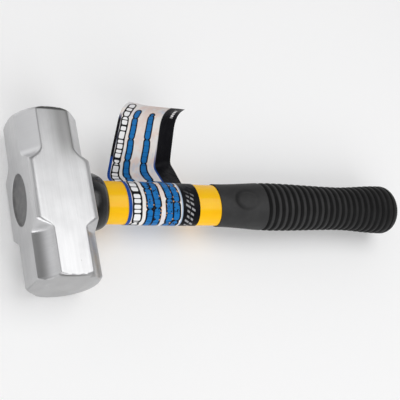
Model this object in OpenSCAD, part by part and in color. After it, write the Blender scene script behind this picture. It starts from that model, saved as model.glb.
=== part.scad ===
// Short sledgehammer with an oval-section fibreglass handle.
// The hammer lies on one cheek: +Z up, +X along the handle, +Y along the striking axis.
// The origin is the centre of the lower cheek. All sizes are in millimetres.

/* [Head] */
// Length between the crests of the two striking faces
head_l = 108; // [84:1:140]
// Width of the head along the handle
head_w = 39.6; // [34:0.2:50]
// Thickness between the two cheeks
head_t = 38.2; // [33:0.2:50]
// Length of the full-width centre section that holds the eye
waist_l = 36.4; // [30:0.2:44]
// Length of each sloped shoulder between the centre section and a poll
shoulder_l = 5.6; // [4:0.2:8]
// Bevel leg on the four long edges of each poll
poll_bevel = 10; // [7:0.5:12]
// Bevel leg on the four edges of the centre section
waist_bevel = 1.5; // [0.5:0.1:2.5]
// Diameter of the crowned striking face inside its turned bevel
face_d = 39.6; // [28:0.2:42]
// Radius of the crown on each striking face
crown_r = 120; // [100:10:300]

/* [Eye filling] */
// Resin gap between the jacket and the eye along the striking axis, on each side
eye_gap_h = 2; // [0.4:0.1:4]
// Resin gap between the jacket and the eye towards the cheeks, on each side
eye_gap_w = 0.9; // [0.2:0.1:3]
// Depth of the resin's front face below the eye's mouth
resin_recess = 1.2; // [0.4:0.1:3]
// Thickness of the resin in front of the core's end
resin_cap = 3.8; // [2:0.1:8]

/* [Shaft] */
// Size of the jacket along the striking axis
shaft_h = 28; // [22:0.2:34]
// Size of the jacket between the cheeks
shaft_w = 19.2; // [15:0.2:24]
// Wall of the moulded jacket over the core
jacket_wall = 2; // [1:0.1:4]
// Length of jacket that sits inside the eye
jacket_in_eye = 5; // [2:0.5:10]
// Distance from the head's centre to the shaft's rear end
shaft_end = 250; // [208:1:300]

/* [Collar] */
// Length of the rubber collar behind the head
collar_l = 12.8; // [8:0.4:20]
// Height that the collar stands over the jacket at the head
collar_front = 4.8; // [2:0.1:5]
// Height that the collar stands over the jacket at its rear
collar_rear = 0.8; // [0.4:0.1:2]

/* [Grip] */
// Length of rubber behind the shaft's rear end
butt_wall = 23; // [14:0.5:30]
// Distance from the head's centre to the grip's front edge
grip_start = 114; // [112:1:126]
// Thickness of the grip's front lip over the jacket
grip_lip = 0.7; // [0.4:0.1:1.5]
// Rubber over the jacket along the striking axis at the palm swell
swell_over_h = 2.9; // [2:0.1:7]
// Rubber over the jacket towards the cheeks at the palm swell
swell_over_w = 4.1; // [2:0.1:8]
// Rubber over the jacket along the striking axis at the finger waist
finger_over_h = 1.8; // [1.6:0.1:6]
// Rubber over the jacket towards the cheeks at the finger waist
finger_over_w = 4.6; // [1.6:0.1:7]
// Rubber over the jacket along the striking axis at the butt
butt_over_h = 4; // [2.5:0.1:9]
// Rubber over the jacket towards the cheeks at the butt
butt_over_w = 6.8; // [2.5:0.1:9]
// Edge radius of the rounded butt
butt_r = 8; // [4:0.5:11]
// Number of grooves round the grip
groove_count = 21; // [8:1:26]
// Depth of each groove
groove_depth = 0.8; // [0.3:0.1:1.2]
// Distance from the grip's front edge to the oval thumb pad's centre
pad_at = 21.2; // [14:0.2:26]
// Length of the thumb pad along the handle
pad_l = 21; // [14:0.5:24]
// Width of the thumb pad
pad_w = 16; // [8:0.2:18]
// Depth of the channel round the thumb pad, from the grip's outer surface
pad_depth = 0.8; // [0.4:0.1:1.6]
// Width of the channel round the thumb pad
pad_channel = 2.4; // [1:0.1:3.5]

/* [Label] */
// Distance from the collar's rear edge to the label
label_gap = 13.2; // [6:0.2:16]
// Width of the label film along the handle
label_l = 51.5; // [42:0.5:56]
// Thickness of the film solid
film = 0.3; // [0.2:0.05:0.6]
// Length of the loose flag from its root on the shaft to its free edge
flag_l = 68; // [50:1:84]
// Length of the flag that leans back at the edge next to the head
lean_near = 12.5; // [8:0.5:16]
// Length of the flag that leans back at the edge next to the grip
lean_far = 25.5; // [14:0.5:32]

/* [Hidden] */
$fn = 96;
oval_sides = 64;

half_l = head_l / 2;
half_w = head_w / 2;
half_t = head_t / 2;
cut = 1;                                    // how far a cutting tool runs past a face
rim_r = face_d / 2;
rim_y = half_l - crown_r + sqrt(crown_r * crown_r - rim_r * rim_r);
corner_r = sqrt(half_w * half_w + half_t * half_t) + cut;
eye_h = shaft_h + 2 * eye_gap_h;
eye_w = shaft_w + 2 * eye_gap_w;
core_h = shaft_h - 2 * jacket_wall;
core_w = shaft_w - 2 * jacket_wall;
resin_front = -half_w + resin_recess;
core_front = resin_front + resin_cap;
jacket_front = half_w - jacket_in_eye;
collar_end = half_w + collar_l;
label_start = collar_end + label_gap;
butt_end = shaft_end + butt_wall;

// Grip stations as [distance, rubber over the jacket along the striking axis, towards the cheeks]
swell_x = grip_start + 49;
butt_x = butt_end - butt_r;
finger_x = (swell_x + butt_x) / 2 + 6;
stations = [
    [grip_start, grip_lip, grip_lip],
    [swell_x, swell_over_h, swell_over_w],
    [finger_x, finger_over_h, finger_over_w],
    [butt_x, butt_over_h, butt_over_w]
];
groove_start = grip_start + 38;
groove_pitch = (butt_x - groove_start) / groove_count;
pad_x = grip_start + pad_at;
grip_sides = 32;
end_steps = 5;

// Angles from +Y towards +Z at which the flag runs, as [edge next to the head, edge next to the grip]
lean_angles = [-40, -24];
rise_angles = [46, 34];
curl_angle = 102;
bend_l = 8;
curl_l = 22;
flag_step = 3;
flag_columns = 4;
root_back = 4;                              // how far behind the shaft's crest the flag is rooted

// ---------- shared shapes ----------

// Points round an oval with half sizes a and b, from the crest on the first axis
function oval_points(a, b, sides) =
    [for (k = [0 : sides - 1]) [a * cos(360 * k / sides), b * sin(360 * k / sides)]];

// Oval outline, h along the first axis and w along the second
module oval(h, w) {
    polygon(oval_points(h / 2, w / 2, oval_sides));
}

// Puts a flat outline in the Y-Z plane on the handle's axis and sweeps it along +X
module along_handle(from, to) {
    translate([from, 0, half_t]) rotate([90, 0, 90]) linear_extrude(to - from) children();
}

module oval_bar(h, w, from, to) {
    along_handle(from, to) oval(h, w);
}

function flatten(rows) = [for (row = rows) for (point = row) point];
function ease(t) = (1 - cos(180 * t)) / 2;
function mix(pair, share) = pair[0] + (pair[1] - pair[0]) * share;

// Closed solid through rings of equal point count that run from -X to +X. A ring that runs out
// along one face of a film and back along the other closes its ends with a strip of quads.
module loft(rings, is_film = false) {
    count = len(rings[0]);
    last = len(rings) - 1;
    sides = [for (i = [0 : last - 1], j = [0 : count - 1], half = [0, 1])
        let (next = (j + 1) % count, a = i * count + j, b = i * count + next,
             c = (i + 1) * count + next, d = (i + 1) * count + j)
        half == 0 ? [a, d, c] : [a, c, b]];
    first_cap = is_film
        ? [for (j = [0 : count / 2 - 2]) [j, j + 1, count - 2 - j, count - 1 - j]]
        : [[for (j = [0 : count - 1]) j]];
    last_cap = [for (face = first_cap) [for (k = [len(face) - 1 : -1 : 0]) last * count + face[k]]];
    caps = concat(first_cap, last_cap);
    polyhedron(points = flatten(rings), faces = concat(sides, caps), convexity = 6);
}

// ---------- head ----------

// Outline of what one long edge loses, along Y and outwards from the handle's axis
module edge_profile() {
    corner = (half_w + half_t) / sqrt(2);
    waist_d = corner - waist_bevel / sqrt(2);
    poll_d = corner - poll_bevel / sqrt(2);
    waist_y = waist_l / 2;
    poll_y = waist_y + shoulder_l;
    far_y = half_l + cut;
    polygon([[-far_y, poll_d], [-poll_y, poll_d], [-waist_y, waist_d], [waist_y, waist_d],
             [poll_y, poll_d], [far_y, poll_d], [far_y, corner + cut], [-far_y, corner + cut]]);
}

module edge_cutter() {
    rotate([90, 0, 90]) linear_extrude(head_w + head_t, center = true) edge_profile();
}

// Turned outline that bevels both ends at 45 degrees
module turned_ends() {
    bevel = corner_r - rim_r;
    rotate([-90, 0, 0]) rotate_extrude()
        polygon([[0, -half_l], [rim_r, -half_l], [rim_r, -rim_y], [corner_r, bevel - rim_y],
                 [corner_r, rim_y - bevel], [rim_r, rim_y], [rim_r, half_l], [0, half_l]]);
}

// Ball whose surface crowns one striking face
module crown_ball(side) {
    translate([0, side * (half_l - crown_r), 0]) sphere(crown_r);
}

module head() {
    color("silver") difference() {
        translate([0, 0, half_t]) difference() {
            intersection() {
                cube([head_w, head_l, head_t], center = true);
                turned_ends();
                crown_ball(1);
                crown_ball(-1);
            }
            for (turn = [45 : 90 : 315]) rotate([0, turn, 0]) edge_cutter();
        }
        oval_bar(eye_h, eye_w, -half_w - cut, half_w + cut);
    }
}

// ---------- handle ----------

// Resin that locks the handle in the eye and closes the eye's mouth
module eye_resin() {
    color("dimgray") difference() {
        oval_bar(eye_h, eye_w, resin_front, half_w);
        oval_bar(core_h, core_w, core_front, half_w + cut);
        oval_bar(shaft_h, shaft_w, jacket_front, half_w + cut);
    }
}

module fibreglass_core() {
    color("khaki") oval_bar(core_h, core_w, core_front, shaft_end);
}

module handle_jacket() {
    color("gold") difference() {
        oval_bar(shaft_h, shaft_w, jacket_front, shaft_end);
        oval_bar(core_h, core_w, jacket_front - cut, shaft_end + cut);
    }
}

// Rubber ring that takes the blow of a missed strike
module overstrike_collar() {
    slice = 0.4;
    rise = collar_front - collar_rear;
    // Each slice as [share of the length, height over the jacket]
    slices = [[0, collar_front], [0.5, collar_rear + 0.85 * rise], [0.8, collar_rear + 0.52 * rise],
              [1, collar_rear]];
    color("black") difference() {
        hull() for (s = slices)
            let (at = half_w + (collar_l - slice) * s[0])
            oval_bar(shaft_h + 2 * s[1], shaft_w + 2 * s[1], at, at + slice);
        oval_bar(shaft_h, shaft_w, half_w - cut, collar_end + cut);
    }
}

// ---------- grip ----------

// Rubber over the jacket at a distance: axis 1 is along the striking axis, axis 2 towards the cheeks
function rubber(x, axis, i = 0) =
    i >= len(stations) - 2 || x <= stations[i + 1][0]
        ? let (t = min(1, max(0, (x - stations[i][0]) / (stations[i + 1][0] - stations[i][0]))))
          mix([stations[i][axis], stations[i + 1][axis]], ease(t))
        : rubber(x, axis, i + 1);

function grip_ring(x, inset) =
    let (a = shaft_h / 2 + rubber(x, 1) - inset, b = shaft_w / 2 + rubber(x, 2) - inset)
    [for (p = oval_points(a, b, grip_sides)) [x, p[0], p[1]]];

module grip_body() {
    ribs = flatten([for (i = [0 : groove_count - 1])
        [grip_ring(groove_start + groove_pitch * i, groove_depth),
         grip_ring(groove_start + groove_pitch * (i + 0.5), 0)]]);
    butt = [for (i = [0 : end_steps])
        grip_ring(butt_x + butt_r * sin(90 * i / end_steps), butt_r * (1 - cos(90 * i / end_steps)))];
    translate([0, 0, half_t]) loft(concat(smooth_rings(0), ribs, butt));
}

// Rings of the smooth front of the grip
function smooth_rings(inset) =
    [for (i = [0 : 7]) grip_ring(grip_start + (groove_start - grip_start) * i / 8, inset)];

// Oval channel round the thumb pad on the upper side, with a floor that follows the grip's surface
module pad_cutter() {
    difference() {
        translate([pad_x, 0, half_t]) linear_extrude(half_t) difference() {
            oval(pad_l, pad_w);
            oval(pad_l - 2 * pad_channel, pad_w - 2 * pad_channel);
        }
        translate([0, 0, half_t]) loft(smooth_rings(pad_depth));
    }
}

module ribbed_grip() {
    color("dimgray") difference() {
        grip_body();
        oval_bar(shaft_h, shaft_w, grip_start - cut, shaft_end);
        pad_cutter();
        translate([0, 0, head_t]) mirror([0, 0, 1]) pad_cutter();
    }
}

// ---------- label ----------

// Direction of the flag at a length from its root; share runs 0 at the head side to 1 at the grip
function flag_angle(length, share) =
    let (lean = mix(lean_angles, share), rise = mix(rise_angles, share),
         bend = ease(min(1, max(0, (length - mix([lean_near, lean_far], share)) / bend_l + 0.5))),
         curl = ease(min(1, max(0, (length - flag_l) / curl_l + 1))))
    lean + (rise - lean) * bend + (curl_angle - rise) * curl;

// Points [y, z, angle] along the flag from its root to its free edge
function flag_path(share) =
    let (step = flag_l / round(flag_l / flag_step), off_axis = 2 * root_back / shaft_w,
         root_y = shaft_h / 2 * sqrt(1 - off_axis * off_axis) + film / 3)
    [for (s = 0, y = root_y, z = -root_back; s <= flag_l + step / 2;
          y = y + step * cos(flag_angle(s + step / 2, share)),
          z = z + step * sin(flag_angle(s + step / 2, share)), s = s + step)
        [y, z, flag_angle(s, share)]];

// Closed outline round the flag's thickness at one place across its width
function flag_ring(share) =
    let (path = flag_path(share))
    concat([for (p = path) flag_point(p, share, 1)],
           [for (i = [len(path) - 1 : -1 : 0]) flag_point(path[i], share, -1)]);

// Corner of the flag's outline on one face of the film: face is 1 or -1
function flag_point(p, share, face) =
    [label_start + label_l * share, p[0] + face * film / 2 * sin(p[2]), p[1] - face * film / 2 * cos(p[2])];

module label_film() {
    color("royalblue") union() {
        difference() {
            oval_bar(shaft_h + 2 * film, shaft_w + 2 * film, label_start, label_start + label_l);
            oval_bar(shaft_h, shaft_w, label_start - cut, label_start + label_l + cut);
        }
        translate([0, 0, half_t])
            loft([for (i = [0 : flag_columns]) flag_ring(i / flag_columns)], is_film = true);
    }
}

head();
eye_resin();
fibreglass_core();
handle_jacket();
overstrike_collar();
ribbed_grip();
label_film();
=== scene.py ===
"""Short sledgehammer: a forged head, a fibreglass handle, a ribbed rubber grip and a printed label.

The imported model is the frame: +X runs along the handle to its butt, +Y along the striking axis and
+Z out of the upper cheek. Every size is in metres.
"""

from __future__ import annotations

import logging
import math
from contextlib import contextmanager
from dataclasses import dataclass
from enum import Enum
from typing import Any, Callable, Iterable, Iterator, Sequence

import bmesh
import bpy
import numpy as np
from mathutils import Matrix, Vector, noise


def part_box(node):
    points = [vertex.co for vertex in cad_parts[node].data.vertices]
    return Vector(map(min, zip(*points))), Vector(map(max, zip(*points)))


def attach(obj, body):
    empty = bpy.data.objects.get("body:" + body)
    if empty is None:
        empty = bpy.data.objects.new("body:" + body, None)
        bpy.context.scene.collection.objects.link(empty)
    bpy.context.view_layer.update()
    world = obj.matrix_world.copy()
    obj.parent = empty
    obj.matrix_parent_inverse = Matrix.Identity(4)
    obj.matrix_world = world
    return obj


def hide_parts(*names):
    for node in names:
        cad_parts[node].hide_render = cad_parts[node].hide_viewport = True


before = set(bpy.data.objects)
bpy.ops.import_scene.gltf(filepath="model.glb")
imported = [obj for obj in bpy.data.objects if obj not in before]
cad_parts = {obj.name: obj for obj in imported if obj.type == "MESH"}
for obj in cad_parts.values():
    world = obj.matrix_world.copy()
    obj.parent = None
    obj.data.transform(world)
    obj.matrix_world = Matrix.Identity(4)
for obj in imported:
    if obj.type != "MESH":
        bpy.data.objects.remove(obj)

log = logging.getLogger("sledgehammer")

MM = 0.001
BODY = "root"
Pair = tuple[float, float]
Colour = tuple[float, float, float]
Material = bpy.types.Material
Socket = bpy.types.NodeSocket
Piece = bpy.types.Object


# ---------- shader writing ----------


class Layer(Enum):
    """Numbers that a mesh carries for its finish."""

    CREST = "crest"
    STRIP = "strip"


def operator(operation: str, swapped: bool = False) -> Callable[..., Value]:
    """Makes a method that adds one Math node.

    Args:
        operation: The node's operation.
        swapped: Puts the other number first, as a reflected operator does.

    Returns:
        The method.
    """

    def method(self: Value, *others: Any) -> Value:
        """Adds the node and wraps its result."""
        terms = enumerate((*others, self) if swapped else (self, *others))
        return Value(self.nodes, self.nodes.node("Math", {"operation": operation}, dict(terms)).outputs[0])

    return method


class Value:
    """A number that varies over a surface, written with ordinary operators."""

    __add__ = __radd__ = operator("ADD")
    __mul__ = __rmul__ = operator("MULTIPLY")
    __sub__, __rsub__ = operator("SUBTRACT"), operator("SUBTRACT", swapped=True)
    __truediv__, __rtruediv__ = operator("DIVIDE"), operator("DIVIDE", swapped=True)
    __pow__, __rpow__ = operator("POWER"), operator("POWER", swapped=True)
    __mod__, __rmod__ = operator("FLOORED_MODULO"), operator("FLOORED_MODULO", swapped=True)
    __abs__ = operator("ABSOLUTE")
    most = operator("MAXIMUM")
    wave = operator("SINE")
    floor = operator("FLOOR")

    def __init__(self, nodes: Nodes, socket: Socket) -> None:
        """Wraps one output socket of a node tree."""
        self.nodes = nodes
        self.socket = socket

    def fade(self, low: float, high: float) -> Value:
        """Like between, with both ends in millimetres."""
        return self.between(low * MM, high * MM)

    def between(self, low: float, high: float) -> Value:
        """Rises smoothly from 0 at low to 1 at high, or falls where low is the larger.

        Args:
            low: Value that gives 0.
            high: Value that gives 1.

        Returns:
            The eased share.
        """
        falls = low > high
        first, last = (high, low) if falls else (low, high)
        made = self.nodes.node(
            "MapRange",
            {"interpolation_type": "SMOOTHSTEP"},
            {"Value": self, "From Min": first, "From Max": last},
        )
        share = Value(self.nodes, made.outputs[0])
        return 1 - share if falls else share


class Nodes:
    """Writes the nodes of one tree."""

    def __init__(self, tree: bpy.types.NodeTree, place: str) -> None:
        """Starts from the place that the tree is asked for.

        Args:
            tree: The node tree.
            place: The texture coordinate to use.
        """
        self.tree = tree
        self.place = self.node("TexCoord").outputs[place]
        split = self.node("SeparateXYZ", inputs={0: self.place})
        self.x, self.y, self.z = (Value(self, out) for out in split.outputs)

    def node(
        self, kind: str, settings: dict[str, Any] | None = None, inputs: dict[Any, Any] | None = None
    ) -> bpy.types.Node:
        """Adds one node.

        Args:
            kind: The node's type, without its leading "ShaderNode".
            settings: Its properties; "stops" sets a colour ramp's stops.
            inputs: Numbers, sockets or Values by socket name or number.

        Returns:
            The node.
        """
        made = self.tree.nodes.new("ShaderNode" + kind)
        for key, setting in (settings or {}).items():
            if key == "stops":
                ramp = made.color_ramp
                while len(ramp.elements) < len(setting):
                    ramp.elements.new(1.0)
                for element, (at, colour) in zip(ramp.elements, setting):
                    element.position, element.color = at, (*colour, 1.0)
            else:
                setattr(made, key, setting)
        for key, given in (inputs or {}).items():
            if isinstance(given, Value):
                given = given.socket
            if isinstance(given, Socket):
                self.tree.links.new(given, made.inputs[key])
            else:
                made.inputs[key].default_value = given
        return made


class Shade(Nodes):
    """Writes one material."""

    def __init__(self, name: str) -> None:
        """Starts an empty material.

        Args:
            name: The material's name.
        """
        self.material = bpy.data.materials.new(name)
        self.material.use_nodes = True
        self.material.node_tree.nodes.clear()
        super().__init__(self.material.node_tree, "Object")

    def mix(self, share: Any, under: Any, over: Any) -> Socket:
        """Lays one colour over another, as far as share says."""
        under, over = ((*c, 1.0) if isinstance(c, tuple) else c for c in (under, over))
        return self.node("Mix", {"data_type": "RGBA"}, {0: share, 6: under, 7: over}).outputs[2]

    def coats(self, colour: Any, *coats: tuple[Value, Colour]) -> Socket:
        """Lays several colours over one in turn.

        Args:
            colour: The lowest colour.
            coats: How much of each further colour shows, and the colour.

        Returns:
            The mixed colour's socket.
        """
        for share, over in coats:
            colour = self.mix(share, colour, over)
        return colour

    def stretch(self, scale: float | Sequence[float]) -> Socket:
        """The object's own place, scaled evenly or on each axis so that a pattern runs along one."""
        inputs = {0: self.place, 1: scale if isinstance(scale, tuple) else (scale,) * 3}
        return self.node("VectorMath", {"operation": "MULTIPLY"}, inputs).outputs[0]

    def noise(self, scale: float | Sequence[float], detail: float, rough: float = 0.5) -> Value:
        """Noise from 0 to 1 with that many features per metre, octaves and share kept by each octave."""
        inputs = {"Vector": self.stretch(scale), "Scale": 1.0, "Detail": detail, "Roughness": rough}
        return Value(self, self.node("TexNoise", inputs=inputs).outputs[0])

    def cells(self, scale: float) -> Value:
        """Distance, in cells, to the nearest of a scatter of that many points per metre."""
        inputs = {"Vector": self.stretch(scale), "Scale": 1.0}
        return Value(self, self.node("TexVoronoi", inputs=inputs).outputs[0])

    def carried(self, layer: Layer, output: str) -> Socket:
        """One output of the numbers that the mesh carries."""
        return self.node("Attribute", {"attribute_name": layer.value}).outputs[output]

    def relief(self, height: Value, depth: float) -> Socket:
        """Normal of a bump whose height, from 0 to 1, stands for depth in metres."""
        inputs = {"Strength": 1.0, "Distance": depth, "Height": height}
        return self.node("Bump", inputs=inputs).outputs[0]

    def surface(self, **inputs: Any) -> Material:
        """Closes the material with one Principled shader.

        Args:
            inputs: The shader's inputs, with underscores for spaces.

        Returns:
            The material.
        """
        named = {}
        for key, given in inputs.items():
            if isinstance(given, tuple) and len(given) == 3:
                given = (*given, 1.0)
            named[key.replace("_", " ")] = given
        shader = self.node("BsdfPrincipled", inputs=named)
        self.node("OutputMaterial", inputs={0: shader.outputs[0]})
        return self.material


# ---------- finishes ----------


@dataclass(frozen=True)
class SatinSteel:
    """Forged steel, ground along the striking axis and lightly brushed."""

    light: Colour = (0.6, 0.6, 0.605)
    dull: Colour = (0.485, 0.485, 0.49)
    # The next four are painted colours: the first two are painted shade and painted shadow, the last two
    # painted light.
    scale: Colour = (0.27, 0.268, 0.265)
    painted_shade_dark: Colour = (0.085, 0.083, 0.08)
    ground: Colour = (0.8, 0.8, 0.805)
    painted_edge_light: Colour = (0.92, 0.92, 0.92)
    pit: Colour = (0.16, 0.155, 0.15)
    rough: float = 0.31
    axis_z: float = 19.1 * MM

    def make(self) -> Material:
        """Builds the material.

        Returns:
            Ground steel with painted shade on parts of its cheeks, bevels and ends, and painted light on its
            upper bevel and waist edge.
        """
        s = Shade("satin_steel")
        off_cheek = abs(s.z - self.axis_z).fade(18.9, 18.5)
        bevel = off_cheek * abs(s.x).fade(19.6, 19.2) * abs(s.y).fade(20, 23)
        along = s.noise((1300, 38, 1300), 4, 0.6)
        across = s.noise((70, 1700, 70), 4, 0.6)
        streaks = along * (1 - bevel) + across * bevel
        fine = s.noise((4800, 150, 4800), 2, 0.5)
        bands = s.noise((105, 7, 30), 2, 0.5)
        cloud = s.noise(60, 3, 0.55)
        pits = s.cells(260).between(0.085, 0.03) * s.noise(90, 1).between(0.62, 0.68)
        tone = bands.between(0.35, 0.7) * 0.25 + streaks.between(0.25, 0.75) * 0.35
        tone = tone + cloud.between(0.35, 0.7) * 0.4
        shadow = s.y.fade(10, 34) * s.x.fade(-6, 5) * (0.35 + bands * 0.9) * (1 - off_cheek)
        # Painted shade in a band along the right side of the upper poll.
        side = s.y.fade(20, 26) * s.x.fade(7.2, 9.4) * s.x.fade(12, 10.5)
        # Painted shade on the lower right bevel, next to the cheek.
        corner = off_cheek * s.z.fade(32.5, 35.5) * s.x.fade(8, 9.5) * s.y.fade(-22, -27)
        # Painted shade on the upper end's rim, next to the cheek.
        painted_rim_shade = s.y.fade(50.1, 50.8) * s.z.fade(30, 34) * s.x.fade(-15, -9) * s.x.fade(14, 9)
        # Painted shade over the lower end's face.
        dome = s.y.fade(-50.5, -51.5) * off_cheek
        # Painted shade along the lower end's rim, under the cheek.
        foot = dome * s.z.fade(35.9, 36.9) * s.x.fade(-14, -10) * s.x.fade(12, 0)
        # Painted light on the upper left bevel.
        painted_light_upper = bevel * s.y.fade(19, 24) * s.x.fade(0, -2)
        painted_light_upper = painted_light_upper * (0.25 + streaks * 0.5) + painted_light_upper * s.y.fade(27, 23) * 0.3
        # Painted highlight along the left waist edge, on the cheek's side.
        painted_waist_highlight = (s.z - self.axis_z - s.x).fade(36.1, 36.9) * s.x.fade(-19.2, -18.4)
        # Painted shade on the left part of the lower left bevel.
        hollow = bevel * s.y.fade(-24, -25.5) * s.y.fade(-51.2, -50)
        hollow = hollow * s.x.fade(0, -2) * s.z.fade(33, 29.2)
        # Apart from tone and pits, these coats are painted shade, painted shadow and painted light.
        colour = s.coats(
            self.light,
            (tone, self.dull),
            (shadow * 0.95, self.scale),
            (side * (0.5 + cloud * 0.5), self.scale),
            (corner * 0.75, self.scale),
            (painted_rim_shade * (0.55 + cloud * 0.6), self.painted_shade_dark),
            (dome * 0.32, self.scale),
            (foot * (0.3 + cloud * 0.7), self.painted_shade_dark),
            (painted_light_upper, self.ground),
            (painted_waist_highlight * (0.5 + 0.5 * s.y.fade(-14, 4)), self.painted_edge_light),
            (hollow * 0.6, self.scale),
            (pits * 0.7, self.pit),
        )
        height = streaks * 0.6 + fine * 0.4 * (1 - bevel) - pits * 0.8
        return s.surface(
            Base_Color=colour,
            Metallic=1.0,
            Roughness=self.rough + (streaks - 0.5) * 0.14 + (cloud - 0.5) * 0.08 + pits * 0.2,
            Normal=s.relief(height, 0.03 * MM),
        )


@dataclass(frozen=True)
class CastResin:
    """Dark grey epoxy, poured into the eye and set with a dull skin."""

    body: Colour = (0.115, 0.115, 0.118)
    dusty: Colour = (0.17, 0.168, 0.165)
    bubble: Colour = (0.05, 0.05, 0.05)

    def make(self) -> Material:
        """Builds the material.

        Returns:
            The material.
        """
        s = Shade("cast_resin")
        cloud = s.noise(210, 4, 0.6)
        grain = s.noise(1900, 2, 0.6)
        bubbles = s.cells(520).between(0.12, 0.05)
        return s.surface(
            Base_Color=s.coats(
                self.body, (cloud.between(0.35, 0.7), self.dusty), (bubbles * 0.5, self.bubble)
            ),
            Roughness=0.52 + (cloud - 0.5) * 0.25,
            Normal=s.relief(cloud * 0.5 + grain * 0.3 - bubbles * 0.4, 0.12 * MM),
        )


@dataclass(frozen=True)
class PultrudedFibreglass:
    """Amber fibreglass rod with glass rovings along its length."""

    resin: Colour = (0.42, 0.31, 0.13)
    glass: Colour = (0.72, 0.63, 0.42)

    def make(self) -> Material:
        """Builds the material.

        Returns:
            The material.
        """
        s = Shade("pultruded_fibreglass")
        rovings = s.noise((18, 1400, 1400), 4, 0.6)
        cloud = s.noise(60, 2, 0.5)
        return s.surface(
            Base_Color=s.mix(rovings.between(0.35, 0.7), self.resin, self.glass),
            Roughness=0.42 + (cloud - 0.5) * 0.2,
            Normal=s.relief(rovings, 0.04 * MM),
        )


@dataclass(frozen=True)
class MouldedYellow:
    """Glossy yellow jacket, moulded over the fibreglass."""

    body: Colour = (1.0, 0.57, 0.004)
    deep: Colour = (1.0, 0.49, 0.003)
    scuff: Colour = (1.0, 0.72, 0.22)

    def make(self) -> Material:
        """Builds the material.

        Returns:
            The material.
        """
        s = Shade("moulded_yellow")
        flow = s.noise((22, 260, 260), 3, 0.5)
        cloud = s.noise(75, 2, 0.5)
        orange_peel = s.noise(1100, 2, 0.5)
        scuffs = s.noise((2600, 190, 190), 3, 0.6).between(0.66, 0.74)
        depth = flow.between(0.35, 0.75) * 0.5 + cloud.between(0.4, 0.7) * 0.3
        return s.surface(
            Base_Color=s.coats(self.body, (depth, self.deep), (scuffs * 0.18, self.scuff)),
            Roughness=0.16 + (cloud - 0.5) * 0.06 + scuffs * 0.12,
            Specular_IOR_Level=0.3,
            Normal=s.relief(orange_peel * 0.5 + flow * 0.5, 0.03 * MM),
        )


@dataclass(frozen=True)
class GlossRubber:
    """Black collar rubber with the sheen of a polished mould."""

    body: Colour = (0.002, 0.002, 0.0024)
    bloom: Colour = (0.007, 0.007, 0.008)

    def make(self) -> Material:
        """Builds the material.

        Returns:
            The material.
        """
        s = Shade("gloss_rubber")
        bloom = s.noise(240, 4, 0.6)
        grain = s.noise(2400, 2, 0.5)
        rubs = s.noise((900, 120, 120), 3, 0.6).between(0.6, 0.72)
        return s.surface(
            Base_Color=s.mix(bloom.between(0.45, 0.75), self.body, self.bloom),
            Roughness=0.18 + (bloom - 0.5) * 0.1 + rubs * 0.12,
            Specular_IOR_Level=0.55,
            Normal=s.relief(grain * 0.5 + bloom * 0.3 - rubs * 0.2, 0.05 * MM),
        )


@dataclass(frozen=True)
class MattRubber:
    """Charcoal grip rubber, matt, with rib crests paler from wear and from a painted highlight."""

    body: Colour = (0.0018, 0.0018, 0.002)
    # Paler colour for wear and for a painted highlight on the rib crests.
    worn_and_highlight: Colour = (0.058, 0.058, 0.0585)
    pore: Colour = (0.008, 0.008, 0.009)

    def make(self) -> Material:
        """Builds the material.

        Returns:
            The material.
        """
        s = Shade("matt_rubber")
        crest = Value(s, s.carried(Layer.CREST, "Fac"))
        cloud = s.noise(95, 4, 0.6)
        grain = s.noise(3400, 2, 0.6)
        pores = s.cells(1500).between(0.22, 0.08)
        # Painted light: paler towards the front, falling off towards the butt.
        front = s.x.fade(272, 150)
        # Painted shade: darker towards the top side.
        painted_light_upper = 0.5 + 0.5 * s.y.fade(13, -3)
        # Paler rib crests: partly wear, partly a painted highlight.
        crest_wear_and_highlight = crest.between(0.55, 1.0) * (0.5 + cloud * 0.5)
        # Random cloud, plus the crests scaled by painted light towards the front and painted shade on top.
        pale_wear_and_light = crest_wear_and_highlight * (0.2 + front * 0.6) * painted_light_upper + cloud.between(0.4, 0.75) * 0.08
        return s.surface(
            Base_Color=s.coats(self.body, (pale_wear_and_light, self.worn_and_highlight), (pores * 0.25, self.pore)),
            Roughness=0.64 + (cloud - 0.5) * 0.16 - crest_wear_and_highlight * 0.16,
            Specular_IOR_Level=0.17,
            Normal=s.relief(grain * 0.45 - pores * 0.35 + cloud * 0.2, 0.07 * MM),
        )


@dataclass(frozen=True)
class BeadRow:
    """One printed row of beads on the film, in millimetres."""

    centre: float
    half: float
    bead: float
    dark: float
    gap: float
    word: float
    phase: float
    top: float
    line: float = 1.15


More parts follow.
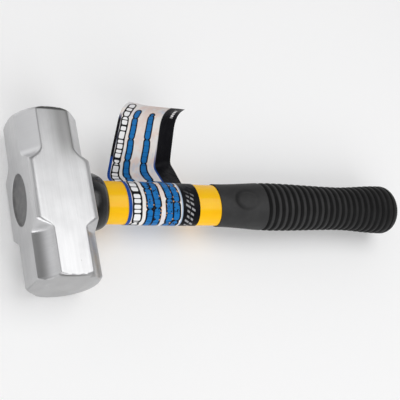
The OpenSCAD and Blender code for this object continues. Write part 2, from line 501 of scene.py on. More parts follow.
@dataclass(frozen=True)
class PrintedFilm:
    """Glossy film printed with abstract rows of beads, a dark band and a plain emblem."""

    paper: Colour = (0.86, 0.83, 0.80)
    blue: Colour = (0.012, 0.17, 0.48)
    deep_blue: Colour = (0.012, 0.07, 0.33)
    ink: Colour = (0.004, 0.004, 0.006)
    white: Colour = (0.90, 0.90, 0.91)
    grey: Colour = (0.42, 0.42, 0.44)
    back: Colour = (0.72, 0.72, 0.73)
    blotch: Colour = (0.84, 0.67, 0.60)
    blush: Colour = (0.62, 0.70, 0.82)
    rust: Colour = (0.62, 0.33, 0.12)
    rule: Colour = (0.42, 0.52, 0.66)
    width: float = 51.5
    band: float = 0.75
    emblem: float = 44.2
    bar_pitch: float = 3.3
    tick_pitch: float = 1.9
    rows: tuple[BeadRow, ...] = (
        BeadRow(6.0, 2.3, 3.7, 1.0, 0.42, 31.0, 9.0, 66.5),
        BeadRow(14.9, 1.95, 4.6, 0.5, 0.2, 14.0, 3.0, 60.5),
        BeadRow(19.9, 1.95, 4.1, 0.5, 0.2, 19.0, 11.0, 60.5),
        BeadRow(29.0, 2.05, 4.4, 0.5, 0.2, 16.0, 8.0, 58.5),
        BeadRow(34.0, 1.95, 4.9, 0.5, 0.2, 12.0, 2.0, 58.5),
    )

    def beads(self, across: Value, along: Value, row: BeadRow) -> tuple[Value, Value]:
        """One printed row of beads with its dark outline.

        Args:
            across: Place across the film, in millimetres.
            along: Place along the film, in millimetres.
            row: The row.

        Returns:
            The beads' and the outline's masks.
        """
        shift = along + row.phase
        group = abs(shift % row.word - row.word / 2)
        end = (group - (row.word / 2 - row.half - 0.1)).most(along - (row.top - row.half - row.line))
        side = abs(across - row.centre + (along * 0.45 + row.phase).wave() * 0.18)
        rounded = (end.most(0.0) ** 2 + side**2) ** 0.5
        outline = (rounded - (row.half + row.line)).between(0.15, -0.15)
        inside = (rounded - row.half).between(0.15, -0.15)
        pitch = shift + (shift * 0.83).wave() * 0.5 + (shift * 0.31).wave() * 0.8
        soft = 0.9
        past = (abs(pitch % row.bead - row.bead / 2) - (row.bead / 2 - row.gap - soft)).most(0.0)
        bulge = (side - (row.half - soft)).most(0.0)
        gaps = ((past**2 + bulge**2) ** 0.5 - soft).between(-0.12, 0.14)
        return inside * (1 - gaps * row.dark), outline

    def make(self) -> Material:
        """Builds the material.

        Returns:
            The material.
        """
        s = Shade("printed_film")
        split = s.node("SeparateXYZ", inputs={0: s.carried(Layer.STRIP, "Vector")})
        share, along, face = (Value(s, out) for out in split.outputs)
        across = share * self.width
        flag = along.between(-1.0, 1.5)
        wrap = 1 - flag
        blotch = s.noise(95, 3, 0.6).between(0.45, 0.62) * 0.7
        blush = s.noise((120, 60, 90), 3, 0.6).between(0.52, 0.68) * 0.7
        colour = s.coats(self.paper, (blotch, self.blotch), (blush, self.blush))
        specks = s.cells(420).between(0.3, 0.16) * wrap
        flecks = s.noise(520, 2, 0.6).between(0.6, 0.66) * wrap
        inks = (self.white, self.blue, self.blue, self.blue, self.blue)
        shown = (1.0, 1.0, wrap, 1.0, along.between(8.0, 6.0))
        for row, ink, part in zip(self.rows, inks, shown):
            fill, outline = (mask * part for mask in self.beads(across, along, row))
            colour = s.coats(colour, (outline, self.ink), (fill, ink))
            if ink is self.blue:
                colour = s.coats(colour, (flecks * outline, self.ink), (specks * (outline - fill), self.rust))
        edge = across.between(2.5, 2.1) * along.between(56.0, 50.0)
        border = share.between(self.band - 0.028, self.band - 0.02) * along.between(40.0, 20.0) * flag
        rule = share.between(self.band - 0.022, self.band - 0.016) * wrap
        slant = along + across * 0.55
        short = abs((slant / self.bar_pitch).floor() % 3 - 1.0) * 0.9
        bars = abs(slant % self.bar_pitch - self.bar_pitch / 2).between(0.85, 0.55)
        bars = bars * (abs(across - self.emblem) + short).between(3.6, 3.2)
        bars = bars * along.between(-16.0, -26.0) * along.between(-56.0, -50.0)
        fret = abs(across - self.emblem + (along * 0.7).wave() * 0.5).between(0.3, 0.6)
        ticks = abs(along % self.tick_pitch - self.tick_pitch / 2).between(0.75, 0.5)
        ticks = ticks * abs(across - 46.6).between(1.3, 1.0)
        ticks = ticks * along.between(56.0, 56.4) * along.between(64.0, 63.6)
        colour = s.coats(
            colour,
            (edge, self.deep_blue),
            (edge * along.between(24.0, 27.0), self.ink),
            (border, self.deep_blue),
            (rule, self.rule),
            (share.between(self.band - 0.006, self.band + 0.004), self.ink),
            (bars * fret * 0.8, self.grey),
            (ticks, self.white),
            (face.between(0.5, 0.6), self.back),
        )
        crinkle = s.noise(150, 3, 0.55)
        grain = s.noise(2600, 1, 0.5)
        return s.surface(
            Base_Color=colour,
            Roughness=0.32 + (crinkle - 0.5) * 0.2,
            Specular_IOR_Level=0.09,
            Normal=s.relief(crinkle * 0.9 + grain * 0.1, 0.9 * MM),
        )


@dataclass(frozen=True)
class StudioPaper:
    """Pale sweep of paper under the tool."""

    tone: Colour = (0.86, 0.86, 0.86)
    shade: Colour = (0.80, 0.80, 0.80)
    glow: float = 0.15

    def make(self) -> Material:
        """Builds the material.

        Returns:
            The material.
        """
        s = Shade("studio_paper")
        fibre = s.noise(900, 3, 0.6)
        return s.surface(
            Base_Color=s.mix(fibre * 0.1, self.tone, self.shade),
            Roughness=0.85,
            Specular_IOR_Level=0.1,
            Emission_Color=(1.0, 1.0, 1.0),
            Emission_Strength=self.glow,
            Normal=s.relief(fibre, 0.05 * MM),
        )


# ---------- mesh building ----------


def skin(
    name: str, points: np.ndarray, ends: bool = True, layers: dict[Layer, np.ndarray] | None = None
) -> Piece:
    """Closed skin over a stack of rings.

    Args:
        name: The piece's name.
        points: Ring by ring, the points of each ring, as an array of rings by sides by 3.
        ends: Closes the first and the last ring with a fan about its centre.
        layers: Attributes to store, each a number or three numbers per point.

    Returns:
        The new object.
    """
    rings, sides = points.shape[:2]
    verts = points.reshape(-1, 3).tolist()
    faces: list[tuple[int, ...]] = []
    for i in range(rings - 1):
        for j in range(sides):
            k = (j + 1) % sides
            faces.append((i * sides + j, i * sides + k, (i + 1) * sides + k, (i + 1) * sides + j))
    if ends:
        for ring in (0, rings - 1):
            verts.append(points[ring].mean(axis=0).tolist())
            hub = len(verts) - 1
            faces.extend((ring * sides + j, hub, ring * sides + (j + 1) % sides) for j in range(sides))
    mesh = bpy.data.meshes.new(name)
    mesh.from_pydata(verts, [], faces)
    for key, data in (layers or {}).items():
        wide = data.ndim == 3
        flat = data.reshape(rings * sides, -1)
        extra = len(verts) - len(flat)
        flat = np.vstack([flat, np.repeat(flat[-1:], extra, axis=0)]) if extra else flat
        layer = mesh.attributes.new(key.value, "FLOAT_VECTOR" if wide else "FLOAT", "POINT")
        layer.data.foreach_set("vector" if wide else "value", flat.astype(np.float32).ravel())
    return settle(name, mesh)


@contextmanager
def edited(mesh: bpy.types.Mesh) -> Iterator[bmesh.types.BMesh]:
    """Opens a mesh for changes and writes it back with its faces turned outwards.

    Args:
        mesh: The mesh.

    Yields:
        The open mesh.
    """
    work = bmesh.new()
    work.from_mesh(mesh)
    yield work
    bmesh.ops.recalc_face_normals(work, faces=work.faces)
    work.to_mesh(mesh)
    work.free()


def smooth(mesh: bpy.types.Mesh, angle: float) -> None:
    """Smooths a mesh except at edges sharper than the angle, in degrees."""
    mesh.shade_smooth()
    mesh.set_sharp_from_angle(angle=math.radians(angle))


def settle(name: str, mesh: bpy.types.Mesh) -> Piece:
    """Turns a mesh's faces outwards, smooths it and adds it to the scene.

    Args:
        name: The object's name.
        mesh: The mesh.

    Returns:
        The new object.
    """
    with edited(mesh):
        pass
    smooth(mesh, 38)
    piece = bpy.data.objects.new(name, mesh)
    bpy.context.scene.collection.objects.link(piece)
    return piece


def weld(piece: Piece) -> Piece:
    """Joins the points that lie on each other."""
    with edited(piece.data) as work:
        bmesh.ops.remove_doubles(work, verts=work.verts, dist=1e-6)
    return piece


def ease(share: np.ndarray) -> np.ndarray:
    """Cosine ease of a share that is first held between 0 and 1."""
    return (1 - np.cos(np.pi * np.clip(share, 0, 1))) / 2


def crowd(
    low: float, high: float, count: int, about: Iterable[float], width: float, pull: float
) -> np.ndarray:
    """Steps from low to high that crowd about some places.

    Args:
        low: First step.
        high: Last step.
        count: Number of steps.
        about: Places where they crowd.
        width: Reach of each crowd.
        pull: How many times closer they stand there.

    Returns:
        The steps.
    """
    fine = np.linspace(low, high, 4000)
    weight = 1 + sum(pull * np.exp(-(((fine - at) / width) ** 2)) for at in about)
    total = np.concatenate([[0], np.cumsum((weight[1:] + weight[:-1]) / 2)])
    return np.interp(np.linspace(0, total[-1], count), total, fine)


def knee(t: np.ndarray, soft: float | np.ndarray) -> np.ndarray:
    """Zero before 0 and t after it, with a soft bend that reaches soft to each side."""
    return (np.clip(t, -soft, soft) + soft) ** 2 / (4 * soft) + np.maximum(t - soft, 0)


def round_meet(a: np.ndarray, b: np.ndarray, r: float | np.ndarray) -> np.ndarray:
    """Distance outside both of two surfaces, with the edge where they meet rounded by radius r."""
    return np.minimum(-r, np.maximum(a, b)) + np.hypot(np.maximum(a + r, 0), np.maximum(b + r, 0))


def dress(piece: Piece, material: Material, slot: str, *nodes: str) -> Piece:
    """Gives a piece its finish and its body, and hides the frame's nodes that it stands for.

    Args:
        piece: The piece.
        material: Its material.
        slot: The record's material slot; not used.
        nodes: The nodes it replaces.

    Returns:
        The piece.
    """
    piece.data.materials.clear()
    piece.data.materials.append(material)
    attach(piece, BODY)
    if nodes:
        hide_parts(*nodes)
    log.info("%s: %d faces", piece.name, len(piece.data.polygons))
    return piece


# ---------- sub-assemblies ----------


@dataclass
class Part:
    """A sub-assembly whose rings stand round the handle's axis, at the height axis_z."""

    axis_z: float
    sides: int = 192
    shaft: Pair = (28 * MM, 19.2 * MM)
    eye: Pair = (32 * MM, 21 * MM)

    def ring(self, x: float, a: float, b: float) -> np.ndarray:
        """Points at x round an oval with half sizes a along the striking axis and b between the cheeks."""
        turn = np.arange(self.sides) * 2 * np.pi / self.sides
        return np.stack([np.full(self.sides, x), a * np.cos(turn), self.axis_z + b * np.sin(turn)], axis=1)


@dataclass
class Head(Part):
    """Forged head with crowned faces, bevelled polls and an oval eye."""

    length: float = 108 * MM
    width: float = 39.6 * MM
    thick: float = 38.2 * MM
    waist: float = 36.4 * MM
    shoulder: float = 5.6 * MM
    poll_bevel: float = 10 * MM
    waist_bevel: float = 1.5 * MM
    face: float = 39.6 * MM
    crown: float = 120 * MM
    edge: float = 0.4 * MM
    waist_edge: float = 2.0 * MM
    rim: float = 0.45 * MM
    turned: float = 0.4 * MM
    knees: Pair = (0.3 * MM, 1.6 * MM)
    fillet: Pair = (1.1 * MM, 3.2 * MM)
    hollow: Pair = (1.25 * MM, 0.12 * MM)
    chamfer: float = 0.3 * MM
    sides: int = 160
    steel: SatinSteel = SatinSteel()

    def outside(self, p: np.ndarray) -> np.ndarray:
        """How far points lie outside the head's surface.

        Args:
            p: Points about the head's centre, in the last axis.

        Returns:
            The signed distance, negative inside.
        """
        x, y, z = (np.abs(p[..., k]) for k in range(3))
        hw, hl, ht = self.width / 2, self.length / 2, self.thick / 2
        corner = (hw + ht) / math.sqrt(2)
        waist_y = self.waist / 2
        lower = p[..., 1] < 0
        top, foot = np.where(lower, *self.knees), np.where(lower, *self.fillet)
        step = (knee(y - waist_y, top) - knee(y - waist_y - self.shoulder, foot)) / self.shoulder
        cut = self.waist_bevel + (self.poll_bevel - self.waist_bevel) * step
        side = ((x - z) / math.sqrt(2) - (hw - ht) / math.sqrt(2)) / (self.poll_bevel / math.sqrt(2))
        deep = np.where(lower, *self.hollow) * np.clip(1 - side**2, 0, 1) * np.clip(2 * step - 1, 0, 1)
        bevel = (x + z) / math.sqrt(2) - (corner - cut / math.sqrt(2)) + deep
        body = round_meet(z - ht, x - hw, self.edge)
        body = round_meet(body, bevel, self.waist_edge + (self.edge - self.waist_edge) * np.clip(step, 0, 1))
        radius = np.hypot(x, z)
        face = self.face / 2
        rim_y = hl - self.crown + math.sqrt(self.crown**2 - face**2)
        turned = (radius + y - face - rim_y) / math.sqrt(2)
        body = round_meet(body, turned, self.turned)
        dome = np.hypot(radius, y - (hl - self.crown)) - self.crown
        return round_meet(body, dome, self.rim)

    def rays(self) -> tuple[np.ndarray, np.ndarray]:
        """Start points and directions of the rays that find the surface.

        Returns:
            Two arrays of rings by sides by 3.
        """
        hw, ht, hl = self.width / 2, self.thick / 2, self.length / 2
        marks = [
            math.atan2(ht, hw - self.poll_bevel),
            math.atan2(ht - self.poll_bevel, hw),
            math.atan2(ht, hw - self.waist_bevel),
            math.atan2(ht - self.waist_bevel, hw),
        ]
        quarter = crowd(0, math.pi / 2, 65, marks, 0.035, 3.0)[:-1]
        turn = np.concatenate([quarter, math.pi - np.append(quarter[1:], math.pi / 2)[::-1]])
        turn = np.concatenate([turn, turn + math.pi])
        core = hl - 17 * MM
        marks_y = [self.waist / 2, self.waist / 2 + self.shoulder]
        marks_y += [-m for m in marks_y]
        along = crowd(-core, core, 150, marks_y, 1.2 * MM, 3.0)
        tilt = np.linspace(0, math.pi / 2, 56)[1:-1]
        tilt = np.append(tilt, math.radians(89.3))
        rows = [(-core, -t) for t in tilt[::-1]] + [(y, 0.0) for y in along] + [(core, t) for t in tilt]
        start = np.array([[[0.0, y, 0.0]] * len(turn) for y, _ in rows])
        aim = np.array(
            [
                np.stack(
                    [np.cos(turn) * math.cos(t), np.full(len(turn), math.sin(t)), np.sin(turn) * math.cos(t)],
                    axis=1,
                )
                for _, t in rows
            ]
        )
        return start, aim

    def build(self) -> Piece:
        """Makes the forging and cuts its eye.

        Returns:
            The head.
        """
        start, aim = self.rays()
        near = np.zeros(start.shape[:2])
        far = np.full(start.shape[:2], 0.09)
        for _ in range(36):
            middle = (near + far) / 2
            inside = self.outside(start + aim * middle[..., None]) < 0
            near = np.where(inside, middle, near)
            far = np.where(inside, far, middle)
        points = start + aim * near[..., None]
        points[..., 2] += self.axis_z
        forging = skin("forged_head", points)
        bore = self.eye_cutter()
        cut = forging.modifiers.new("eye", "BOOLEAN")
        cut.object = bore
        cut.operation = "DIFFERENCE"
        cut.solver = "EXACT"
        graph = bpy.context.evaluated_depsgraph_get()
        mesh = bpy.data.meshes.new_from_object(forging.evaluated_get(graph))
        for used in (forging, bore):
            bpy.data.objects.remove(used)
        return settle("forged_head", mesh)

    def eye_cutter(self) -> Piece:
        """Oval bar that cuts the eye and eases both of its mouths.

        Returns:
            The bar.
        """
        a, b = self.eye[0] / 2, self.eye[1] / 2
        half, c = self.width / 2, self.chamfer
        profile = [(-half - c, 2 * c), (-half + c, 0), (half - c, 0), (half + c, 2 * c)]
        rings = np.array([self.ring(x, a + grow, b + grow) for x, grow in profile])
        return skin("eye_cutter", rings)

    def dress(self) -> None:
        """Builds the head and gives it its steel."""
        dress(self.build(), self.steel.make(), "forged_steel", "head")


@dataclass
class Shaft(Part):
    """Resin, fibreglass core and moulded yellow jacket."""

    wall: float = 2 * MM
    resin_dip: float = 0.2 * MM
    meniscus: float = 1.0 * MM
    yellow: MouldedYellow = MouldedYellow()
    resin: CastResin = CastResin()
    glass: PultrudedFibreglass = PultrudedFibreglass()

    def jacket(self) -> Piece:
        """Oval tube over the core.

        Returns:
            The jacket.
        """
        low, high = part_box("handle_jacket")
        a, b = self.shaft[0] / 2, self.shaft[1] / 2
        start, end = low[0], high[0]
        profile = [(start, self.wall), (start, 0.0), (end, 0.0), (end, self.wall), (start, self.wall)]
        rings = np.array([self.ring(x, a - w, b - w) for x, w in profile[:4]])
        tube = np.concatenate([rings, rings[:1]])
        return weld(skin("yellow_jacket", tube, ends=False))

    def filling(self) -> Piece:
        """Resin plug whose front sank between its edges as it set.

        Returns:
            The filling.
        """
        low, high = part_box("eye_resin")
        core_low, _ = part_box("fibreglass_core")
        jacket_low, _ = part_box("handle_jacket")
        a, b = self.eye[0] / 2 - 0.02 * MM, self.eye[1] / 2 - 0.02 * MM
        core = (self.shaft[0] / 2 - self.wall, self.shaft[1] / 2 - self.wall)
        front = low[0]
        rings = []
        for grow in np.append(np.linspace(0.03, 0.85, 12), np.linspace(0.87, 1.0, 14)):
            climb = self.meniscus * (1 - float(ease(np.array((1 - grow) / 0.1)))) ** 1.5
            rings.append(self.ring(front + self.resin_dip - climb, a * grow, b * grow))
        rings.append(self.ring(high[0], a, b))
        outer = (self.shaft[0] / 2, self.shaft[1] / 2)
        rings.append(self.ring(high[0], *outer))
        rings.append(self.ring(jacket_low[0], *outer))
        rings.append(self.ring(jacket_low[0], *core))
        rings.append(self.ring(core_low[0], *core))
        return skin("resin_filling", np.array(rings))

    def dress(self) -> None:
        """Builds the shaft's pieces and finishes them."""
        dress(self.jacket(), self.yellow.make(), "yellow_jacket", "handle_jacket")
        dress(self.filling(), self.resin.make(), "eye_resin", "eye_resin")
        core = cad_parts["fibreglass_core"]
        core.data.materials.clear()
        core.data.materials.append(self.glass.make())


@dataclass
class Collar(Part):
    """Rubber ring behind the head with a rounded shoulder."""

    front: float = 4.8 * MM
    rear: float = 0.8 * MM
    profile: tuple[Pair, ...] = ((0, 1), (0.25, 0.98), (0.5, 0.85), (0.8, 0.52), (1, 0))
    rear_round: Pair = (0.405 * MM, 0.035)
    front_round: Pair = (0.35 * MM, 0.03)
    rubber: GlossRubber = GlossRubber()

    def build(self) -> Piece:
        """Turns the collar's profile round the oval shaft.

        Returns:
            The collar.
        """
        low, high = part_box("overstrike_collar")
        x0, length = low[0], high[0] - low[0]
        a, b = self.shaft[0] / 2, self.shaft[1] / 2
        rise = self.front - self.rear
        share = np.linspace(0, 1, 40)
        at, part = zip(*self.profile)
        height = np.interp(share, at, self.rear + rise * np.array(part))
        for _ in range(10):
            height[1:-1] = (height[:-2] + 2 * height[1:-1] + height[2:]) / 4
        (rear_r, rear_for), (front_r, front_for) = self.rear_round, self.front_round
        height -= rear_r * ease((share - 1 + rear_for) / rear_for)
        height -= front_r * ease((front_for - share) / front_for)
        rings = [self.ring(x0, a, b)]
        rings += [
            self.ring(x0 + length * s, a + h, b + h) for s, h in zip(share, height)
        ]
        rings += [self.ring(x0 + length, a, b)]
        rings += [rings[0]]
        return weld(skin("rubber_collar", np.array(rings), ends=False))

    def dress(self) -> None:
        """Builds the collar and gives it its rubber."""
        dress(self.build(), self.rubber.make(), "collar_rubber", "overstrike_collar")


@dataclass
class Grip(Part):
    """Moulded rubber grip with a smooth thumb rest, ribs and a flared butt."""

    shaft_end: float = 250 * MM
    lip: float = 0.7 * MM
    swell: Pair = (33.8 * MM, 27.4 * MM)
    finger: Pair = (31.6 * MM, 28.4 * MM)
    butt: Pair = (36 * MM, 32.8 * MM)
    butt_r: float = 8 * MM
    front_r: float = 0.5 * MM
    swell_at: float = 49 * MM
    finger_shift: float = 6 * MM
    ribs: int = 21
    rib_depth: float = 1.1 * MM
    rib_start: float = 38 * MM
    pad_at: float = 21.2 * MM
    pad: Pair = (21 * MM, 16 * MM)
    pad_depth: float = 0.8 * MM
    pad_channel: float = 3 * MM
    sides: int = 224
    rubber: MattRubber = MattRubber()

    def half_sizes(self, x: np.ndarray, start: float, end: float) -> tuple[np.ndarray, np.ndarray]:
        """Half sizes of the smooth outer oval at distances along the handle.

        Args:
            x: Distances.
            start: The grip's front edge.
            end: The butt's end.

        Returns:
            Half sizes along the striking axis and between the cheeks.
        """
        swell_x, butt_x = start + self.swell_at, end - self.butt_r
        finger_x = (swell_x + butt_x) / 2 + self.finger_shift
        knots = [start, swell_x, finger_x, butt_x]
        sizes = [
            (self.shaft[0] + 2 * self.lip, self.shaft[1] + 2 * self.lip),
            self.swell,
            self.finger,
            self.butt,
        ]
        out = []
        for axis in (0, 1):
            size = np.full_like(x, sizes[0][axis])
            for k in range(3):
                part = ease((x - knots[k]) / (knots[k + 1] - knots[k]))
                grown = sizes[k][axis] + (sizes[k + 1][axis] - sizes[k][axis]) * part
                size = np.where(x > knots[k], grown, size)
            out.append(size / 2)
        return out[0], out[1]

    def build(self) -> Piece:
        """Makes the grip as one closed skin, bore and all.

        Returns:
            The grip.
        """
        low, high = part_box("ribbed_grip")
        start, end = low[0], high[0]
        butt_x = end - self.butt_r
        rib_from = start + self.rib_start
        pitch = (butt_x - rib_from) / self.ribs
        smooth = np.linspace(start + self.front_r, rib_from - pitch / 2, 84)
        ribbed = np.linspace(rib_from - pitch / 2, butt_x, self.ribs * 13 + 7)[1:]
        x = np.concatenate([smooth, ribbed])
        a, b = self.half_sizes(x, start, end)
        turn = 2 * np.pi * (x - rib_from) / pitch
        wave = 0.5 + 0.5 * np.cos(turn + 0.35 * np.sin(turn))
        fade = ease((x - rib_from + pitch / 2) / (0.5 * pitch))
        fade = fade * (1 - 0.55 * ease((x - butt_x + 2 * pitch) / (2 * pitch)))
        groove = self.rib_depth * wave**0.95 * fade
        rows = [(xx, aa - g, bb - g, 1 - g / self.rib_depth) for xx, aa, bb, g in zip(x, a, b, groove)]
        front = []
        for t in np.linspace(math.pi / 2, 0, 6)[:-1]:
            inset = self.front_r * (1 - math.cos(t))
            front.append((start + self.front_r * (1 - math.sin(t)), a[0] - inset, b[0] - inset, 1.0))
        butt = []
        for t in np.linspace(0, 1, 30)[1:] * (math.pi / 2):
            inset = self.butt_r * (1 - math.cos(t))
            at = butt_x + self.butt_r * math.sin(t)
            butt.append((at, self.butt[0] / 2 - inset, self.butt[1] / 2 - inset, 1.0))
        face_a, face_b = butt[-1][1], butt[-1][2]
        butt += [(end, face_a * k, face_b * k, 1.0) for k in (0.75, 0.5, 0.25, 0.06)]
        sa, sb = self.shaft[0] / 2, self.shaft[1] / 2
        bore = [(self.shaft_end, sa * k, sb * k, 0.5) for k in (0.1, 0.6, 1.0)]
        bore += [(start + 2 * MM, sa, sb, 0.5), (start, sa, sb, 0.5)]
        rows = bore + front + rows + butt
        rings = np.array([self.ring(r[0], r[1], r[2]) for r in rows])
        crest = np.array([[r[3]] * self.sides for r in rows])
        self.sink_pads(rings, crest, start, len(bore))
        return skin("rubber_grip", rings, layers={Layer.CREST: crest})

    def sink_pads(self, rings: np.ndarray, crest: np.ndarray, start: float, skip: int) -> None:
        """Sinks an oval channel round each thumb pad.

        Args:
            rings: The grip's rings, changed in place.
            crest: The grip's crest layer, changed in place: lowered as painted shade in the channel, and over
                the pad.
            start: The grip's front edge.
            skip: Rings that belong to the bore.
        """
        outer = rings[skip:]
        dx = outer[..., 0] - start - self.pad_at
        half_l, half_w = self.pad[0] / 2, self.pad[1] / 2
        reach = np.hypot(dx / half_l, outer[..., 1] / half_w)
        middle = 1 - self.pad_channel / 2 / half_w
        near = np.abs(reach - middle) / (1 - middle)
        weight = 0.6 - 0.4 * np.clip(dx / half_l, -1, 1)
        sink = self.pad_depth * (1 - ease(near / 1.5)) * weight
        dz = outer[..., 2] - self.axis_z
        flat = np.abs(dz) > 6 * MM
        outer[..., 2] -= np.sign(dz) * np.where(flat, sink, 0)
        # Lowers the crest layer, which the rubber shows paler, as painted shade in the channel and over the
        # pad inside it, more towards the front.
        dull = 1 - 0.3 * sink / self.pad_depth - 0.12 * ease((middle - reach) / 0.3) * weight
        crest[skip:] = np.where(flat & (reach < 1.2), crest[skip:] * dull, crest[skip:])

    def dress(self) -> None:
        """Builds the grip and gives it its rubber."""
        dress(self.build(), self.rubber.make(), "grip_rubber", "ribbed_grip")


@dataclass
class Label(Part):
    """Printed film wrapped once round the jacket, with a loose flag."""

    start: float = 45.8 * MM
    width: float = 51.5 * MM
    film: float = 0.1 * MM
    flag: float = 68 * MM
    lap: float = 6 * MM
    root_back: float = 4 * MM
    lean_for: Pair = (12.5 * MM, 25.5 * MM)
    lean: Pair = (-40.0, -24.0)
    rise: Pair = (46.0, 34.0)
    curl: float = 102.0
    bend: float = 8 * MM
    curl_for: float = 22 * MM
    step: float = 0.6 * MM
    clear: float = 0.12 * MM
    tuck: float = 0.11 * MM
    loose: float = 0.9 * MM
    kink: float = 1.47 * MM
    ripples: tuple[tuple[float, float, float, float], ...] = (
        (2.2, 34.0, 3.1, 0.75 * MM),
        (6.0, 95.0, 8.4, 0.18 * MM),
    )
    columns: int = 52
    printing: PrintedFilm = PrintedFilm()

    def heading(self, along: float, share: float) -> float:
        """Direction of the flag, in degrees from the striking axis towards the upper cheek.

        Args:
            along: Length from the flag's root.
            share: Place across the film, 0 next to the head and 1 next to the grip.

        Returns:
            The direction.
        """
        lean = self.lean[0] + (self.lean[1] - self.lean[0]) * share
        rise = self.rise[0] + (self.rise[1] - self.rise[0]) * share
        lean_for = self.lean_for[0] + (self.lean_for[1] - self.lean_for[0]) * share
        bent = float(ease(np.array((along - lean_for) / self.bend + 0.5)))
        curled = float(ease(np.array((along - self.flag) / self.curl_for + 1)))
        return lean + (rise - lean) * bent + (self.curl - rise) * curled

    def path(self, share: float) -> np.ndarray:
        """Centre line of the film at one place across its width.

        Args:
            share: Place across the film.

        Returns:
            Rows of place along the striking axis, height over the handle's axis, heading in radians and
            length from the flag's root.
        """
        a, b = self.shaft[0] / 2 + self.clear, self.shaft[1] / 2 + self.clear
        root = -math.asin(self.root_back / b)
        fine = np.linspace(root + 2 * math.pi + 0.6, root, 6000)
        y, z = a * np.cos(fine), b * np.sin(fine)
        run = np.concatenate([[0], np.cumsum(np.hypot(np.diff(y), np.diff(z)))])
        leave = run[-1] - self.loose
        once = run[-1] - run[np.searchsorted(-fine, -(root + 2 * math.pi))]
        first = run[-1] - once - self.lap
        along = np.arange(first, leave, self.step)
        turn = np.interp(along, run, fine)
        tuck = self.tuck * ease((along - first) / (self.lap * 1.5))
        wrap = np.stack(
            [
                (a + tuck) * np.cos(turn),
                (b + tuck) * np.sin(turn),
                np.arctan2(-b * np.cos(turn), a * np.sin(turn)),
                along - run[-1],
            ],
            axis=1,
        )
        rows = [tuple(r) for r in wrap]
        y, z, facing, _ = rows[-1]
        tangent = math.degrees(facing)
        tangent = tangent - 360 if tangent > 0 else tangent
        step, gone = 0.25 * MM, 0.0
        while gone < self.kink:
            part = (gone + step / 2) / self.kink
            angle = math.radians(tangent + (self.heading(self.loose, share) - tangent) * min(1, part))
            y, z, gone = y + step * math.cos(angle), z + step * math.sin(angle), gone + step
            rows.append((y, z, angle, 2 * self.loose * gone / self.kink - self.loose))
        count = round((self.flag - self.loose) / self.step)
        step = (self.flag - self.loose) / count
        for k in range(count):
            angle = math.radians(self.heading(self.loose + step * (k + 0.5), share))
            y, z = y + step * math.cos(angle), z + step * math.sin(angle)
            rows.append((y, z, angle, self.loose + step * (k + 1)))
        return np.array(rows)

    def build(self) -> Piece:
        """Makes the film as one closed sheet with a front, a back and four cut edges.

        Returns:
            The sheet.
        """
        shares = np.linspace(0, 1, self.columns)
        paths = [self.path(s) for s in shares]
        rows = min(len(p) for p in paths)
        rings, strips = [], []
        for share, path in zip(shares, paths):
            path = path[:rows]
            x = self.start + self.width * share
            out = np.stack([-np.sin(path[:, 2]), np.cos(path[:, 2])], axis=1)
            loose = ease(path[:, 3] / (20 * MM))
            ripple = np.array(
                [
                    sum(noise.noise(Vector((share * u, s * v, seed))) * h for u, v, seed, h in self.ripples)
                    for s in path[:, 3]
                ]
            )
            mid = path[:, :2] + out * (ripple * loose)[:, None]
            front = mid + out * self.film / 2
            back = mid - out * self.film / 2
            ring = np.concatenate([front, back[::-1]])
            rings.append(np.column_stack([np.full(len(ring), x), ring[:, 0], self.axis_z + ring[:, 1]]))
            along = path[:, 3] / MM
            length = np.concatenate([along, along[::-1]])
            face = np.concatenate([np.zeros(rows), np.ones(rows)])
            strips.append(np.column_stack([np.full(len(ring), share), length, face]))
        return self.close("label_sheet", np.array(rings), np.array(strips), rows)

    def close(self, name: str, rings: np.ndarray, strips: np.ndarray, rows: int) -> Piece:
        """Closes both long cut edges of the film with strips of quads.

        Args:
            name: The piece's name.
            rings: Outline of the film at each column.
            strips: The print's coordinates at each point.
            rows: Points on one face of an outline.

        Returns:
            The sheet.
        """
        piece = skin(name, rings, ends=False, layers={Layer.STRIP: strips})
        sides = rings.shape[1]
        with edited(piece.data) as work:
            work.verts.ensure_lookup_table()
            for first in (0, (len(rings) - 1) * sides):
                for j in range(rows - 1):
                    around = (j, j + 1, sides - 2 - j, sides - 1 - j)
                    work.faces.new([work.verts[first + c] for c in around])
        smooth(piece.data, 50)
        return piece

    def dress(self) -> None:
        sheet = dress(self.build(), self.printing.make(), "label_print", "label_film")


@dataclass(frozen=True)
class SoftBox:
    """One soft lamp, in metres and watts, with its roll about its own axis in degrees."""

    name: str
    place: Colour
    aim: Colour
    size: Pair
    power: float
    roll: float = 0.0

    def hang(self) -> None:
        """Adds the lamp to the scene."""
        data = bpy.data.lights.new(self.name, "AREA")
        data.shape = "RECTANGLE"
        data.size, data.size_y = self.size
        data.energy = self.power
        lamp = bpy.data.objects.new(self.name, data)
        lamp.location = self.place
        faced = (Vector(self.aim) - Vector(self.place)).to_track_quat("-Z", "Y").to_matrix()
        lamp.rotation_euler = (faced @ Matrix.Rotation(math.radians(self.roll), 3, "Z")).to_euler()
        bpy.context.scene.collection.objects.link(lamp)


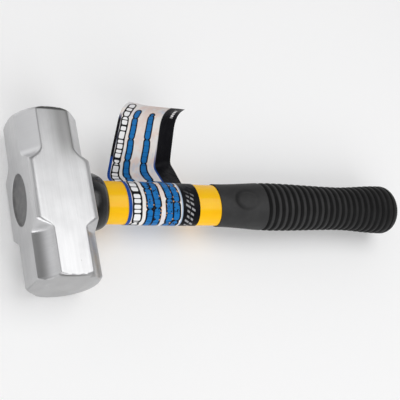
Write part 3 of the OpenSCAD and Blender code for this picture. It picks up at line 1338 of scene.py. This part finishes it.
@dataclass
class Studio:
    """Pale floor, graded sky, soft boxes and the camera."""

    floor: float = 6.0
    drop: float = 0.2 * MM
    lens: float = 76.46
    eye: Colour = (-0.2006, -0.1924, 0.4384)
    turn: Colour = (-0.3613, 0.6294, 0.2211)
    sky: tuple[Pair, ...] = ((0.0, 1.0), (0.18, 0.92), (0.37, 0.62), (0.75, 0.27), (1.0, 0.36))
    skew: float = 0.12
    boxes: tuple[SoftBox, ...] = (
        SoftBox("overhead", (0.42, 0.13, 1.0), (0.3, 0.11, 0.02), (0.8, 0.85), 3.65, -18),
        SoftBox("front", (-0.16, -0.95, 0.72), (0.05, 0, 0.02), (1.2, 0.75), 5.4),
        SoftBox("card", (-0.36, 0.36, 0.92), (0, 0, 0.03), (0.45, 0.5), 0.26),
        SoftBox("streak", (-0.86, -0.42, 0.40), (-0.01, -0.03, 0.03), (0.25, 0.25), 0.25),
    )
    paper: StudioPaper = StudioPaper()

    def ground(self) -> None:
        """Lays the floor just under the lower cheek."""
        work = bmesh.new()
        bmesh.ops.create_grid(work, x_segments=8, y_segments=8, size=self.floor / 2)
        mesh = bpy.data.meshes.new("floor")
        work.to_mesh(mesh)
        work.free()
        ground = bpy.data.objects.new("floor", mesh)
        ground.location.z = -self.drop
        mesh.materials.append(self.paper.make())
        bpy.context.scene.collection.objects.link(ground)

    def light(self) -> None:
        """Sets the graded sky and hangs the soft boxes."""
        world = bpy.data.worlds.new("studio")
        world.use_nodes = True
        back = world.node_tree.nodes["Background"]
        nodes = Nodes(world.node_tree, "Generated")
        stops = [(height, (grey, grey, grey * 1.01)) for height, grey in self.sky]
        ramp = nodes.node("ValToRGB", {"stops": stops}, {0: nodes.x * self.skew + nodes.z})
        nodes.tree.links.new(ramp.outputs[0], back.inputs[0])
        back.inputs[1].default_value = 1.0
        bpy.context.scene.world = world
        for box in self.boxes:
            box.hang()

    def camera(self) -> None:
        """Places the camera."""
        tilt, swing, roll = self.turn
        data = bpy.data.cameras.new("camera")
        data.lens, data.sensor_width = self.lens, 36
        data.clip_start = 0.01
        camera = bpy.data.objects.new("camera", data)
        turned = Matrix.Rotation(-swing, 4, "Y") @ Matrix.Rotation(-tilt, 4, "X")
        turned = turned @ Matrix.Rotation(-roll, 4, "Z")
        camera.matrix_world = Matrix.Translation(self.eye) @ turned
        bpy.context.scene.collection.objects.link(camera)
        bpy.context.scene.camera = camera

    def build(self) -> None:
        """Sets up the whole studio."""
        bpy.context.scene.view_settings.view_transform = "Standard"
        self.camera()
        self.ground()
        self.light()


def main() -> None:
    """Builds the tool, piece by piece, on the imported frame."""
    logging.basicConfig(level=logging.INFO, format="%(message)s")
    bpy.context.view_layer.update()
    Studio().build()
    low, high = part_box("head")
    axis_z = (low[2] + high[2]) / 2
    for part in (Head, Shaft, Collar, Grip, Label):
        part(axis_z).dress()


if __name__ == "__main__":
    main()
